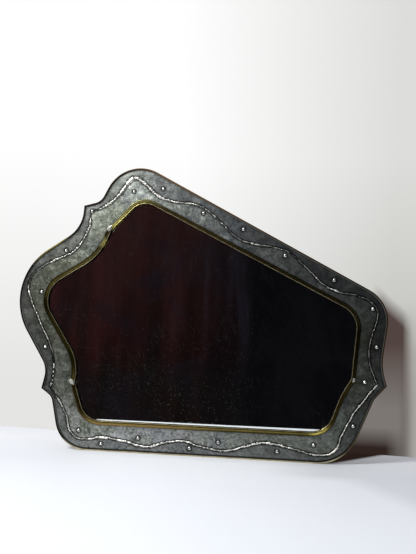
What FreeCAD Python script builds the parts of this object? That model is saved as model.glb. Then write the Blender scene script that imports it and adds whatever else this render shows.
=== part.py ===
import FreeCAD, Part
import math
import os
import Sketcher
from FreeCAD import Placement, Rotation, Vector

# Wall mirror in an asymmetric frame: a plywood ring faced with two patinated metal plates that meet in a
# wavy soldered seam, edged and lined with brass strips, with the glass held from behind.
# Millimetres. The front faces -Y, Z is up, and the origin is the middle of the flat bottom edge.

SIZES = {
    # Outer outline: a polygon with rounded corners. The two lowest corners stand on the bottom line,
    # and every other corner is a step sideways and upwards from the corner below it on its side.
    "lower_left_x": -223,
    "lower_left_radius": 54,
    "left_heel_x": -18.5,
    "left_heel_rise": 85,
    "left_heel_radius": 19,
    "left_cusp_x": -18.5,
    "left_cusp_rise": 13,
    "left_waist_x": 7.5,
    "left_waist_rise": 34,
    "left_waist_radius": 38,
    "left_lobe_x": -91,
    "left_lobe_rise": 144.5,
    "left_lobe_radius": 101,
    "top_waist_x": 139.5,
    "top_waist_rise": 92.5,
    "top_waist_radius": 55,
    "top_cusp_x": 2,
    "top_cusp_rise": 38,
    "top_shoulder_x": 29,
    "top_shoulder_rise": 7.5,
    "top_shoulder_radius": 23,
    "top_lobe_x": 39,
    "top_lobe_rise": 80,
    "top_lobe_radius": 61,
    "lower_right_x": 243,
    "lower_right_radius": 68,
    "right_heel_x": 42.5,
    "right_heel_rise": 104,
    "right_heel_radius": 25,
    "right_cusp_x": 19.5,
    "right_cusp_rise": 22,
    "right_waist_x": -9,
    "right_waist_rise": 30,
    "right_waist_radius": 90,
    "right_lobe_x": 14,
    "right_lobe_rise": 103,
    "right_lobe_radius": 57,
    # Window outline: each corner is set in from the outer corner of the same name.
    "window_top_cusp_x": 43,
    "window_top_cusp_rise": -36,
    "window_top_lobe_x": 29.5,
    "window_top_lobe_rise": -67,
    "window_top_lobe_radius": 37,
    "window_right_lobe_x": -45,
    "window_right_lobe_rise": -17.5,
    "window_right_lobe_radius": 45,
    "window_right_cusp_x": -49,
    "window_right_cusp_rise": 7,
    "window_right_heel_x": -46.5,
    "window_right_heel_rise": 0.5,
    "window_right_heel_radius": 130,
    "window_lower_right_x": -26,
    "window_lower_right_rise": 42,
    "window_lower_right_radius": 42,
    "window_lower_left_x": 35,
    "window_lower_left_rise": 42,
    "window_lower_left_radius": 42,
    "window_left_cusp_x": 49,
    "window_left_cusp_rise": 12,
    "window_left_waist_x": 45,
    "window_left_waist_rise": 13,
    "window_left_waist_radius": 70,
    "window_left_lobe_x": 59.5,
    "window_left_lobe_rise": -15.5,
    "window_left_lobe_radius": 48,
    "window_top_waist_x": 26,
    "window_top_waist_rise": -42.5,
    "window_top_waist_radius": 90,
    # Depths, from the back of the core to the front of the edge strips
    "core_thickness": 9,
    "sheet_thickness": 1,
    "edge_proud": 1,
    "edge_thickness": 2,
    "edge_groove": 1.6,
    "glass_thickness": 4,
    "glass_lap": 6,
    "glass_gap": 1,
    "panel_thickness": 3,
    "panel_lap": 14,
    # Brass sight rim, in section: a flat top, a slope down to the glass and a raised lip
    "rim_proud": 0.5,
    "rim_top": 1.2,
    "rim_slope": 3.8,
    "rim_lip": 1.8,
    "rim_lip_base": 2.2,
    "rim_lip_height": 0.9,
    "rim_joint_radius": 3.6,
    "rim_joint_inset": 2.6,
    # Solder bead along the seam
    "bead_width": 3.2,
    "bead_height": 1.6,
    # Domed nails
    "stud_head_radius": 3.1,
    "stud_head_height": 2.2,
    "stud_shank_radius": 0.8,
    "stud_tip_cover": 0.5,
    # Screws of the back panel and of the hangers
    "panel_screw_count": 12,
    "panel_screw_margin": 3.5,
    "panel_screw_head_radius": 3,
    "panel_screw_head_height": 1.8,
    "panel_screw_shank_radius": 1.4,
    "panel_screw_shank_length": 9,
    "hanger_screw_head_radius": 3.2,
    "hanger_screw_head_height": 2,
    "hanger_screw_shank_radius": 1.7,
    "hanger_screw_shank_length": 8,
    # Hangers: a strap rolled into a knuckle, and a ring that swings in it, a drop below the right lobe's corner
    "hanger_drop": 15,
    "hanger_inset": 15.4,
    "strap_width": 10,
    "strap_length": 25,
    "strap_thickness": 1.2,
    "strap_screw_margin": 5.5,
    "ring_wire_radius": 1.25,
    "ring_running_clearance": 0.05,
    "ring_width": 16,
    "ring_leg": 5,
    "ring_bend_radius": 2.5,
    "ring_joint_gap": 0.3,
    "ring_rest_gap": 0.3,
    "hole_clearance": 0.05,
}

# The outline runs clockwise, seen from the front, and changes its run at each cusp.
OUTER_CORNERS = [
    "top_cusp", "top_shoulder", "top_lobe", "right_lobe", "right_waist",
    "right_cusp", "right_heel", "lower_right", "lower_left", "left_heel",
    "left_cusp", "left_waist", "left_lobe", "top_waist"]
WINDOW_CORNERS = [
    "top_cusp", "top_lobe", "right_lobe",
    "right_cusp", "right_heel", "lower_right", "lower_left",
    "left_cusp", "left_waist", "left_lobe", "top_waist"]
LEFT_CHAIN = [
    "lower_left", "left_heel", "left_cusp", "left_waist", "left_lobe",
    "top_waist", "top_cusp", "top_shoulder", "top_lobe"]
RIGHT_CHAIN = ["lower_right", "right_heel", "right_cusp", "right_waist", "right_lobe"]
CUSPS = ["top_cusp", "right_cusp", "left_cusp"]
RUNS = ["upper", "lower", "left"]

# The seam's turning points: how far along its run, and how far across from the edge to the window.
SEAM_SHARES = {
    "upper": [
        (0.0, 0.29), (0.02, 0.30), (0.055, 0.37), (0.083, 0.46), (0.13, 0.31), (0.145, 0.27), (0.157, 0.38),
        (0.195, 0.75), (0.247, 0.64), (0.307, 0.38), (0.345, 0.34), (0.388, 0.53), (0.438, 0.74), (0.49, 0.60),
        (0.537, 0.35), (0.573, 0.25), (0.635, 0.49), (0.69, 0.73), (0.735, 0.70), (0.77, 0.46), (0.807, 0.31),
        (0.833, 0.32), (0.893, 0.57), (0.92, 0.59), (0.96, 0.47), (1.0, 0.31)],
    "lower": [
        (0.0, 0.31), (0.048, 0.32), (0.088, 0.47), (0.155, 0.52), (0.195, 0.28), (0.233, 0.28), (0.28, 0.46),
        (0.325, 0.62), (0.36, 0.66), (0.408, 0.50), (0.463, 0.28), (0.53, 0.40), (0.57, 0.56), (0.615, 0.48),
        (0.66, 0.27), (0.728, 0.44), (0.79, 0.53), (0.828, 0.37), (0.85, 0.32), (0.878, 0.37), (0.915, 0.48),
        (0.955, 0.30), (0.97, 0.22), (1.0, 0.30)],
    "left": [
        (0.0, 0.30), (0.028, 0.33), (0.098, 0.34), (0.182, 0.50), (0.355, 0.61), (0.458, 0.45), (0.508, 0.27),
        (0.568, 0.23), (0.645, 0.36), (0.733, 0.50), (0.78, 0.54), (0.84, 0.47), (0.932, 0.37), (0.97, 0.31),
        (1.0, 0.29)],
}
# The bead leaves the seam bare for a short way at the top cusp and at the left cusp.
BEAD_SKIPS_START = {"upper": 1, "lower": 0, "left": 0}
BEAD_SKIPS_END = {"upper": 0, "lower": 1, "left": 1}

# Domed nails, placed along and across their run in the same way.
OUTER_STUD_SHARES = {
    "upper": [(0.003, 0.28), (0.215, 0.43), (0.448, 0.32), (0.70, 0.36), (0.912, 0.31)],
    "lower": [(0.118, 0.31), (0.333, 0.36), (0.552, 0.30), (0.777, 0.28)],
    "left": [(0.20, 0.33), (0.768, 0.37)],
}
INNER_STUD_SHARES = {
    "upper": [(0.122, 0.68), (0.333, 0.51), (0.568, 0.44), (0.818, 0.42), (1.0, 0.70)],
    "lower": [(0.228, 0.66), (0.48, 0.58), (0.695, 0.58), (0.86, 0.56)],
    "left": [(0.505, 0.86)],
}

FRONT = Vector(0, -1, 0)

doc = FreeCAD.newDocument("wall_mirror")
sheet = doc.addObject("Spreadsheet::Sheet", "Sizes")
for row, (alias, value) in enumerate(SIZES.items(), start=1):
    sheet.set(f"A{row}", alias)
    sheet.set(f"B{row}", str(value))
    sheet.setAlias(f"B{row}", alias)
doc.recompute()

# Depth planes, as expressions on the sheet
CORE_BACK = "(Sizes.core_thickness + Sizes.sheet_thickness + Sizes.edge_proud) / 2"
CORE_FRONT = f"{CORE_BACK} - Sizes.core_thickness"
FACE = f"{CORE_FRONT} - Sizes.sheet_thickness"
EDGE_FRONT = f"{FACE} - Sizes.edge_proud"
GLASS_FRONT = f"{CORE_BACK} - Sizes.glass_thickness"
PANEL_BACK = f"{CORE_BACK} + Sizes.panel_thickness"
KNUCKLE_RADIUS = "(Sizes.ring_wire_radius + Sizes.ring_running_clearance + Sizes.strap_thickness)"
PIVOT = f"{CORE_BACK} + {KNUCKLE_RADIUS}"


def size(alias):
    """One driving size, read from the sheet."""
    return float(getattr(sheet, alias))


# Cutting bodies reach this far past the frame, in depth and outwards.
CUT_DEPTH = 6 * size("core_thickness")
CUT_REACH = 2 * (size("lower_right_x") - size("lower_left_x"))


def value_of(expression):
    """The number that an expression on the sheet stands for."""
    return float(sheet.evalExpression(expression))


# Outlines

def steps_to(corner):
    """The corners to add up, from the bottom line to this corner."""
    chain = LEFT_CHAIN if corner in LEFT_CHAIN else RIGHT_CHAIN
    return chain[:chain.index(corner) + 1]


def outer_terms(corner):
    """Aliases whose sums are the corner's x and z."""
    chain = steps_to(corner)
    return [f"{name}_x" for name in chain], [f"{name}_rise" for name in chain[1:]]


def window_terms(corner):
    """Aliases for a window corner: the outer corner's, and its own step inwards."""
    across, up = outer_terms(corner)
    return across + [f"window_{corner}_x"], up + [f"window_{corner}_rise"]


def outline(corners, terms, prefix):
    """Each corner's place, radius and the expressions that they are bound to."""
    found = []
    for corner in corners:
        across, up = terms(corner)
        radius_alias = f"{prefix}{corner}_radius"
        found.append({
            "place": Vector(sum(map(size, across)), sum(map(size, up)), 0),
            "across": " + ".join(f"Sizes.{alias}" for alias in across),
            "up": " + ".join(f"Sizes.{alias}" for alias in up) or "0",
            "radius": 0 if corner in CUSPS else size(radius_alias),
            "radius_expression": f"Sizes.{radius_alias}",
            "cusp": corner in CUSPS,
        })
    return found


def corner_arc(before, corner, after):
    """Entry, middle, exit and centre of the arc that rounds a corner."""
    place = corner["place"]
    back = (before["place"] - place).normalize()
    onward = (after["place"] - place).normalize()
    half = back.getAngle(onward) / 2
    run = corner["radius"] / math.tan(half)
    inward = (back + onward).normalize()
    centre = place + inward * (corner["radius"] / math.sin(half))
    return place + back * run, centre - inward * corner["radius"], place + onward * run, centre


def corner_arcs(corners):
    """The arc of every corner; a cusp has its own place three times."""
    arcs = []
    for index, corner in enumerate(corners):
        if corner["cusp"]:
            arcs.append((corner["place"], corner["place"], corner["place"], corner["place"]))
        else:
            arcs.append(corner_arc(corners[index - 1], corner, corners[(index + 1) % len(corners)]))
    return arcs


def outline_sketch(name, corners):
    """A sketch in the XZ plane whose corner points and radii are bound to the sheet."""
    sketch = doc.addObject("Sketcher::SketchObject", name)
    sketch.Placement = Placement(Vector(), Rotation(Vector(1, 0, 0), 90))
    arcs = corner_arcs(corners)
    count = len(corners)
    lines = [sketch.addGeometry(Part.LineSegment(arcs[index][2], arcs[(index + 1) % count][0]))
             for index in range(count)]
    for index, corner in enumerate(corners):
        entering = lines[index - 1]
        leaving = lines[index]
        if corner["cusp"]:
            sketch.addConstraint(Sketcher.Constraint("Coincident", entering, 2, leaving, 1))
            anchor = leaving
        else:
            anchor = add_rounded_corner(sketch, corner, arcs[index], entering, leaving)
        bind_point(sketch, anchor, corner)
    return sketch


def add_rounded_corner(sketch, corner, arc, entering, leaving):
    """Adds the arc and the sharp corner point that both lines run through."""
    entry, _, leave, centre = arc
    turns_left = (corner["place"] - entry).cross(leave - corner["place"]).z > 0
    first, last = (entry, leave) if turns_left else (leave, entry)
    angles = [math.atan2(end.y - centre.y, end.x - centre.x) for end in (first, last)]
    circle = Part.Circle(centre, Vector(0, 0, 1), corner["radius"])
    rounded = sketch.addGeometry(Part.ArcOfCircle(circle, angles[0], angles[1]))
    point = sketch.addGeometry(Part.Point(corner["place"]), True)
    entry_end, leave_end = (1, 2) if turns_left else (2, 1)
    sketch.addConstraint([
        Sketcher.Constraint("Tangent", entering, 2, rounded, entry_end),
        Sketcher.Constraint("Tangent", rounded, leave_end, leaving, 1),
        Sketcher.Constraint("PointOnObject", point, 1, entering),
        Sketcher.Constraint("PointOnObject", point, 1, leaving),
    ])
    radius = sketch.addConstraint(Sketcher.Constraint("Radius", rounded, corner["radius"]))
    sketch.setExpression(f"Constraints[{radius}]", corner["radius_expression"])
    return point


def bind_point(sketch, anchor, corner):
    """Ties a corner's point to the sheet."""
    place = corner["place"]
    across = sketch.addConstraint(Sketcher.Constraint("DistanceX", -1, 1, anchor, 1, place.x))
    sketch.setExpression(f"Constraints[{across}]", corner["across"])
    if corner["up"] == "0":
        sketch.addConstraint(Sketcher.Constraint("PointOnObject", anchor, 1, -1))
    else:
        up = sketch.addConstraint(Sketcher.Constraint("DistanceY", -1, 1, anchor, 1, place.y))
        sketch.setExpression(f"Constraints[{up}]", corner["up"])


def upright(point, depth=0):
    """A point of a sketch plane, stood up in the frame at a depth."""
    return Vector(point.x, depth, point.y)


def run_edges(corners, depth):
    """The outline's edges between one cusp and the next, as one list per run."""
    arcs = corner_arcs(corners)
    runs = []
    for index, corner in enumerate(corners):
        entry, middle, leave, _ = [upright(point, depth) for point in arcs[index]]
        following = upright(arcs[(index + 1) % len(corners)][0], depth)
        if corner["cusp"]:
            runs.append([])
        else:
            runs[-1].append(Part.Arc(entry, middle, leave).toShape())
        runs[-1].append(Part.LineSegment(leave, following).toShape())
    return dict(zip(RUNS, runs))


# Pieces of the document

def offset_outline(name, source, expression):
    """An outline at a distance from another one, outwards where the distance is positive."""
    wire = doc.addObject("Part::Offset2D", name)
    wire.Source = source
    wire.Join = "Intersection"
    wire.setExpression("Value", expression)
    return wire


def slab(name, outline_object, front, back):
    """A solid of an outline's shape between two depths."""
    solid = doc.addObject("Part::Extrusion", name)
    solid.Base = outline_object
    solid.DirMode = "Custom"
    solid.Dir = FRONT
    solid.Solid = True
    solid.setExpression("LengthFwd", f"-({front})")
    solid.setExpression("LengthRev", back)
    return solid


def cut(name, base, *tools):
    """The base less each tool in turn."""
    for index, tool in enumerate(tools):
        is_last = index == len(tools) - 1
        result = doc.addObject("Part::Cut", name if is_last else f"{name}_step_{index}")
        result.Base = base
        result.Tool = tool
        base = result
    return base


def common(name, base, tool):
    """What two solids share."""
    result = doc.addObject("Part::Common", name)
    result.Base = base
    result.Tool = tool
    return result


def feature(name, shape):
    """A document object for a shape that Part's own functions make."""
    made = doc.addObject("Part::Feature", name)
    made.Shape = shape
    return made


outer_corners = outline(OUTER_CORNERS, outer_terms, "")
window_corners = outline(WINDOW_CORNERS, window_terms, "window_")
outer_outline = outline_sketch("OuterOutline", outer_corners)
window_outline = outline_sketch("WindowOutline", window_corners)
core_outline = offset_outline("CoreOutline", outer_outline, "-Sizes.edge_thickness")
plate_outline = offset_outline("PlateOutline", outer_outline, "-Sizes.edge_thickness - Sizes.edge_groove")
glass_outline = offset_outline("GlassOutline", window_outline, "Sizes.glass_lap")
rebate_outline = offset_outline("RebateOutline", window_outline, "Sizes.glass_lap + Sizes.glass_gap")
panel_outline = offset_outline("PanelOutline", window_outline, "Sizes.panel_lap")
screw_line = offset_outline("PanelScrewLine", window_outline, "Sizes.panel_lap - Sizes.panel_screw_margin")
doc.recompute()


# The band between edge and window, and what is placed on it

def point_along(edges, share):
    """The point at a share of the length of a chain of edges."""
    left = share * sum(edge.Length for edge in edges)
    for edge in edges:
        if left <= edge.Length:
            return edge.valueAt(edge.getParameterByLength(left))
        left -= edge.Length
    return edges[-1].valueAt(edges[-1].LastParameter)


def on_band(run, along, across, depth):
    """A point of the face, from its place along and across its run."""
    edge_point = point_along(outer_runs[run], along)
    window_point = point_along(window_runs[run], along)
    point = edge_point + (window_point - edge_point) * across
    return Vector(point.x, depth, point.z)


def arc_from(start, tangent, end):
    """The arc that leaves a point along a tangent and ends at another point, and its last tangent."""
    chord = end - start
    left = Vector(-chord.z, 0, chord.x) / chord.Length
    turn = math.atan2(tangent.dot(left), tangent.dot(chord) / chord.Length)
    if abs(turn) < 1e-4:
        return Part.LineSegment(start, end).toShape(), tangent
    middle = (start + end) * 0.5 + left * (chord.Length / 2 * math.tan(turn / 2))
    last = tangent - chord * (2 * tangent.dot(chord) / chord.dot(chord))
    return Part.Arc(start, middle, end).toShape(), last * -1


def biarc(start, start_tangent, end, end_tangent):
    """Two arcs that join smoothly, from one point and tangent to the next."""
    span = end - start
    both = start_tangent + end_tangent
    square = 2 * (1 - start_tangent.dot(end_tangent))
    along = span.dot(both)
    if square < 1e-9:
        reach = span.dot(span) / (4 * span.dot(end_tangent))
    else:
        reach = (-along + math.sqrt(along * along + square * span.dot(span))) / square
    joint = (start + end + (start_tangent - end_tangent) * reach) * 0.5
    first, tangent = arc_from(start, start_tangent, joint)
    second, _ = arc_from(joint, tangent.normalize(), end)
    return [first, second]


def tangents(points):
    """A tangent at each point, along the chord of its neighbours."""
    found = []
    for index in range(len(points)):
        before = points[max(index - 1, 0)]
        after = points[min(index + 1, len(points) - 1)]
        found.append((after - before).normalize())
    return found


def seam_edges(run, depth, skip_start=0, skip_end=0):
    """The seam of one run as smooth arcs, with some of its stretches left out at the ends."""
    points = [on_band(run, along, across, depth) for along, across in SEAM_SHARES[run]]
    directions = tangents(points)
    edges = []
    for index in range(skip_start, len(points) - 1 - skip_end):
        edges += biarc(points[index], directions[index], points[index + 1], directions[index + 1])
    return edges


face_depth = value_of(FACE)
glass_depth = value_of(GLASS_FRONT)
outer_runs = run_edges(outer_corners, 0)
window_runs = run_edges(window_corners, 0)


def end_tangents(edges):
    """Directions of travel at the first and last points of a chain."""
    first = edges[0].tangentAt(edges[0].FirstParameter)
    last = edges[-1].tangentAt(edges[-1].LastParameter)
    return first, last


def lengthened(edges, at_start, at_end):
    """The chain with a straight run added along its end tangents."""
    first, last = end_tangents(edges)
    start = edges[0].valueAt(edges[0].FirstParameter)
    end = edges[-1].valueAt(edges[-1].LastParameter)
    longer = list(edges)
    if at_start:
        longer.insert(0, Part.LineSegment(start - first * at_start, start).toShape())
    if at_end:
        longer.append(Part.LineSegment(end, end + last * at_end).toShape())
    return longer


def swept(edges, profile):
    """A solid along a chain. The profile has points (inwards, forwards), with arcs as point triples."""
    path = Part.Wire(edges)
    travel, _ = end_tangents(edges)
    inward = Vector(travel.z, 0, -travel.x)
    start = edges[0].valueAt(edges[0].FirstParameter)

    def placed(point):
        return start + inward * point[0] + FRONT * point[1]

    outline_edges = []
    for stretch in profile:
        points = [placed(point) for point in stretch]
        curve = Part.LineSegment(*points) if len(points) == 2 else Part.Arc(*points)
        outline_edges.append(curve.toShape())
    return path.makePipeShell([Part.Wire(outline_edges)], True, False)


# Thirds of the frame, divided at the cusps

def inward_bisector(edges_before, edges_after):
    """The direction into the glass that halves a kink of the window."""
    _, arriving = end_tangents(edges_before)
    leaving, _ = end_tangents(edges_after)
    return Vector(arriving.z + leaving.z, 0, -arriving.x - leaving.x).normalize()


def place_of(corners, names, corner):
    """A corner's place, stood up in the frame."""
    return upright(corners[names.index(corner)]["place"])


def dividing_line(index):
    """Points from the glass, over a kink, to the cusp and on outwards."""
    kink = place_of(window_corners, WINDOW_CORNERS, CUSPS[index])
    cusp = place_of(outer_corners, OUTER_CORNERS, CUSPS[index])
    inward = inward_bisector(window_runs[RUNS[index - 1]], window_runs[RUNS[index]])
    outward = (cusp - kink).normalize()
    return [kink + inward * (4 * rim_width), kink, cusp, cusp + outward * CUT_REACH]


def third(index):
    """A solid that holds one run of the frame and ends at its two cusps."""
    start = dividing_line(index)
    end = dividing_line((index + 1) % len(RUNS))
    middle_edge = point_along(outer_runs[RUNS[index]], 0.5)
    middle_window = point_along(window_runs[RUNS[index]], 0.5)
    beyond = middle_edge + (middle_edge - middle_window).normalize() * CUT_REACH
    hub = sum((place_of(window_corners, WINDOW_CORNERS, cusp) for cusp in CUSPS), Vector()) * (1 / len(CUSPS))
    loop = [hub] + start + [beyond] + end[::-1] + [hub]
    wire = feature(f"Third_{RUNS[index]}_outline", Part.makePolygon(loop))
    return slab(f"Third_{RUNS[index]}", wire, f"-{CUT_DEPTH}", f"{CUT_DEPTH}")


rim_width = size("rim_top") + size("rim_slope") + size("rim_lip")
thirds = {run: third(index) for index, run in enumerate(RUNS)}


# Turned fasteners

def turned_pin(name, prefix, shank_length):
    """A pin with a domed head, turned about Y, with the head's seat at the origin and its dome to +Y."""
    body = doc.addObject("PartDesign::Body", name)
    plane = next(item for item in body.Origin.OriginFeatures if item.Role == "XY_Plane")
    sketch = body.newObject("Sketcher::SketchObject", f"{name}_profile")
    sketch.AttachmentSupport = (plane, "")
    sketch.MapMode = "FlatFace"
    head = size(f"{prefix}_head_radius")
    dome = size(f"{prefix}_head_height")
    shank = size(f"{prefix}_shank_radius")
    length = value_of(shank_length)
    ball = (head * head + dome * dome) / (2 * dome)
    centre = Vector(0, dome - ball, 0)
    rim_angle = math.atan2(-centre.y, head)
    tip = sketch.addGeometry(Part.LineSegment(Vector(0, -length, 0), Vector(shank, -length, 0)))
    side = sketch.addGeometry(Part.LineSegment(Vector(shank, -length, 0), Vector(shank, 0, 0)))
    seat = sketch.addGeometry(Part.LineSegment(Vector(shank, 0, 0), Vector(head, 0, 0)))
    circle = Part.Circle(centre, Vector(0, 0, 1), ball)
    top = sketch.addGeometry(Part.ArcOfCircle(circle, rim_angle, math.pi / 2))
    axis = sketch.addGeometry(Part.LineSegment(Vector(0, dome, 0), Vector(0, -length, 0)))
    sketch.addConstraint([
        Sketcher.Constraint("Coincident", tip, 2, side, 1),
        Sketcher.Constraint("Coincident", side, 2, seat, 1),
        Sketcher.Constraint("Coincident", seat, 2, top, 1),
        Sketcher.Constraint("Coincident", top, 2, axis, 1),
        Sketcher.Constraint("Coincident", axis, 2, tip, 1),
        Sketcher.Constraint("Horizontal", tip),
        Sketcher.Constraint("Vertical", side),
        Sketcher.Constraint("PointOnObject", seat, 1, -1),
        Sketcher.Constraint("PointOnObject", seat, 2, -1),
        Sketcher.Constraint("PointOnObject", axis, 1, -2),
        Sketcher.Constraint("PointOnObject", axis, 2, -2),
        Sketcher.Constraint("PointOnObject", top, 3, -2),
    ])
    bound = [
        ("DistanceX", (-1, 1, tip, 2), shank, f"Sizes.{prefix}_shank_radius"),
        ("DistanceX", (-1, 1, seat, 2), head, f"Sizes.{prefix}_head_radius"),
        ("DistanceY", (-1, 1, axis, 1), dome, f"Sizes.{prefix}_head_height"),
        ("DistanceY", (tip, 1, -1, 1), length, shank_length),
    ]
    for kind, points, start_value, expression in bound:
        number = sketch.addConstraint(Sketcher.Constraint(kind, *points, start_value))
        sketch.setExpression(f"Constraints[{number}]", expression)
    turned = body.newObject("PartDesign::Revolution", f"{name}_turned")
    turned.Profile = sketch
    turned.ReferenceAxis = (sketch, ["V_Axis"])
    turned.Angle = 360
    doc.recompute()
    return body


def set_of_pins(name, pattern, places, head_forward):
    """Copies of one pin, as one group of separate solids."""
    turn = Rotation(Vector(1, 0, 0), 180 if head_forward else 0)
    pins = []
    for place in places:
        pin = pattern.Shape.copy()
        pin.Placement = Placement(place, turn)
        pins.append(pin)
    return feature(name, Part.makeCompound(pins))


def set_of_holes(name, places, radius):
    """Through holes along Y, as one cutting body."""
    start = Vector(0, CUT_DEPTH, 0)
    return feature(name, Part.makeCompound(
        [Part.makeCylinder(radius, 2 * CUT_DEPTH, place + start, FRONT) for place in places]))


def stud_places(studs):
    """Where each domed nail meets the face."""
    return [on_band(run, along, across, face_depth) for run in RUNS for along, across in studs[run]]


# A domed nail ends in the wood in front of the glass rebate.
stud_pattern = turned_pin("StudPattern", "stud", f"{GLASS_FRONT} - ({FACE}) - Sizes.stud_tip_cover")
panel_screw_pattern = turned_pin("PanelScrewPattern", "panel_screw", "Sizes.panel_screw_shank_length")
hanger_screw_pattern = turned_pin("HangerScrewPattern", "hanger_screw", "Sizes.hanger_screw_shank_length")

outer_stud_places = stud_places(OUTER_STUD_SHARES)
inner_stud_places = stud_places(INNER_STUD_SHARES)
outer_studs = set_of_pins("outer_plate_studs", stud_pattern, outer_stud_places, True)
inner_studs = set_of_pins("inner_plate_studs", stud_pattern, inner_stud_places, True)
stud_holes = set_of_holes(
    "StudHoles", outer_stud_places + inner_stud_places, size("stud_shank_radius") + size("hole_clearance"))

panel_back_depth = value_of(PANEL_BACK)
screw_points = screw_line.Shape.Wires[0].discretize(Number=int(size("panel_screw_count")) + 1)[:-1]
panel_screw_places = [Vector(point.x, panel_back_depth, point.z) for point in screw_points]
panel_screws = set_of_pins("back_panel_screws", panel_screw_pattern, panel_screw_places, False)
panel_screw_holes = set_of_holes(
    "PanelScrewHoles", panel_screw_places, size("panel_screw_shank_radius") + size("hole_clearance"))


def edges_at(height):
    """Where the outline's left and right edges are at a height."""
    level = Part.makeLine(Vector(-CUT_REACH, 0, height), Vector(CUT_REACH, 0, height))
    crossings = [vertex.X for vertex in outer_outline.Shape.section(level).Vertexes]
    return min(crossings), max(crossings)


# Both rings hang at one height.
HANGER_HEIGHT = " + ".join(f"Sizes.{alias}" for alias in outer_terms("right_lobe")[1]) + " - Sizes.hanger_drop"
STRAP_FOOT = f"{HANGER_HEIGHT} - Sizes.strap_length"
left_edge, right_edge = edges_at(value_of(HANGER_HEIGHT))
hangers = {"left": left_edge + size("hanger_inset"), "right": right_edge - size("hanger_inset")}
strap_back_depth = value_of(f"{CORE_BACK} + Sizes.strap_thickness")
hanger_screw_z = value_of(f"{STRAP_FOOT} + Sizes.strap_screw_margin")
hanger_screw_places = [Vector(middle, strap_back_depth, hanger_screw_z) for middle in hangers.values()]
hanger_screws = set_of_pins("hanger_screws", hanger_screw_pattern, hanger_screw_places, False)
hanger_screw_holes = set_of_holes(
    "HangerScrewHoles", hanger_screw_places, size("hanger_screw_shank_radius") + size("hole_clearance"))


# Core, plates, glass and back panel

window_cut = slab("WindowCut", window_outline, f"-{CUT_DEPTH}", f"{CUT_DEPTH}")
core_blank = slab("CoreBlank", core_outline, CORE_FRONT, CORE_BACK)
glass_rebate = slab("GlassRebate", rebate_outline, GLASS_FRONT, f"{CUT_DEPTH}")
core = cut("core_ring", core_blank, window_cut, glass_rebate, stud_holes, panel_screw_holes, hanger_screw_holes)

seam_wire = feature("SeamOutline", Part.Wire([edge for run in RUNS for edge in seam_edges(run, 0)]))
inside_seam = slab("InsideSeam", seam_wire, FACE, CORE_FRONT)
plate_blank = slab("PlateBlank", plate_outline, FACE, CORE_FRONT)
outer_plate = cut("outer_face_plate", plate_blank, inside_seam, stud_holes)
inner_plate = cut("inner_face_plate", inside_seam, window_cut, stud_holes)

glass = slab("mirror_glass", glass_outline, GLASS_FRONT, CORE_BACK)
panel_blank = slab("PanelBlank", panel_outline, CORE_BACK, PANEL_BACK)
panel = cut("back_panel", panel_blank, panel_screw_holes)


# Brass edge strips and sight rims, mitred at the cusps

edge_blank = slab("EdgeBlank", outer_outline, EDGE_FRONT, CORE_BACK)
edge_core = slab("EdgeCore", core_outline, EDGE_FRONT, CORE_BACK)
edge_ring = cut("EdgeRing", edge_blank, edge_core)
edge_strips = {run: common(f"edge_strip_{run}", edge_ring, thirds[run]) for run in RUNS}


def rim_profile():
    """The sight rim's section: window wall, flat top, slope, raised lip and glass side."""
    wall = glass_depth - face_depth + size("rim_proud")
    top = size("rim_top")
    slope_end = top + size("rim_slope")
    low = size("rim_lip_base")
    lip_middle = (slope_end + size("rim_lip") / 2, low + size("rim_lip_height"))
    return [
        [(0, 0), (0, wall)],
        [(0, wall), (top, wall)],
        [(top, wall), (slope_end, low)],
        [(slope_end, low), lip_middle, (rim_width, low)],
        [(rim_width, low), (rim_width, 0)],
        [(rim_width, 0), (0, 0)],
    ]


def sight_rim(run):
    """One brass rim, swept past both kinks and cut to the mitre."""
    edges = run_edges(window_corners, glass_depth)[run]
    blank = feature(f"RimBlank_{run}", swept(lengthened(edges, 2 * rim_width, 2 * rim_width), rim_profile()))
    return common(f"sight_rim_{run}", blank, thirds[run])


sight_rims = {run: sight_rim(run) for run in RUNS}


# Solder: the bead on the seam, and the drops where the sight rims meet

def seam_bead(run):
    """A half-round bead along one run of the seam."""
    half = size("bead_width") / 2
    profile = [
        [(-half, 0), (0, size("bead_height")), (half, 0)],
        [(half, 0), (-half, 0)],
    ]
    edges = seam_edges(run, face_depth, BEAD_SKIPS_START[run], BEAD_SKIPS_END[run])
    past_cusp = size("bead_width")
    edges = lengthened(edges, past_cusp if run == "lower" else 0, past_cusp if run == "upper" else 0)
    blank = feature(f"BeadBlank_{run}", swept(edges, profile))
    return common(f"seam_bead_{run}", blank, thirds[run])


beads = {run: seam_bead(run) for run in RUNS}
doc.recompute()


def rim_joint(index):
    """A drop of solder over the mitre of two sight rims, resting on them."""
    kink = place_of(window_corners, WINDOW_CORNERS, CUSPS[index])
    inward = inward_bisector(window_runs[RUNS[index - 1]], window_runs[RUNS[index]])
    centre = kink + inward * size("rim_joint_inset")
    centre.y = face_depth
    drop = Part.makeSphere(size("rim_joint_radius"), centre)
    neighbours = [sight_rims[RUNS[index - 1]], sight_rims[RUNS[index]], inner_plate, core]
    drop = drop.cut([neighbour.Shape for neighbour in neighbours])
    return max(drop.Solids, key=lambda solid: solid.Volume)


rim_joints = feature("rim_solder_joints", Part.makeCompound([rim_joint(index) for index in range(len(CUSPS))]))


# Hangers

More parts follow.
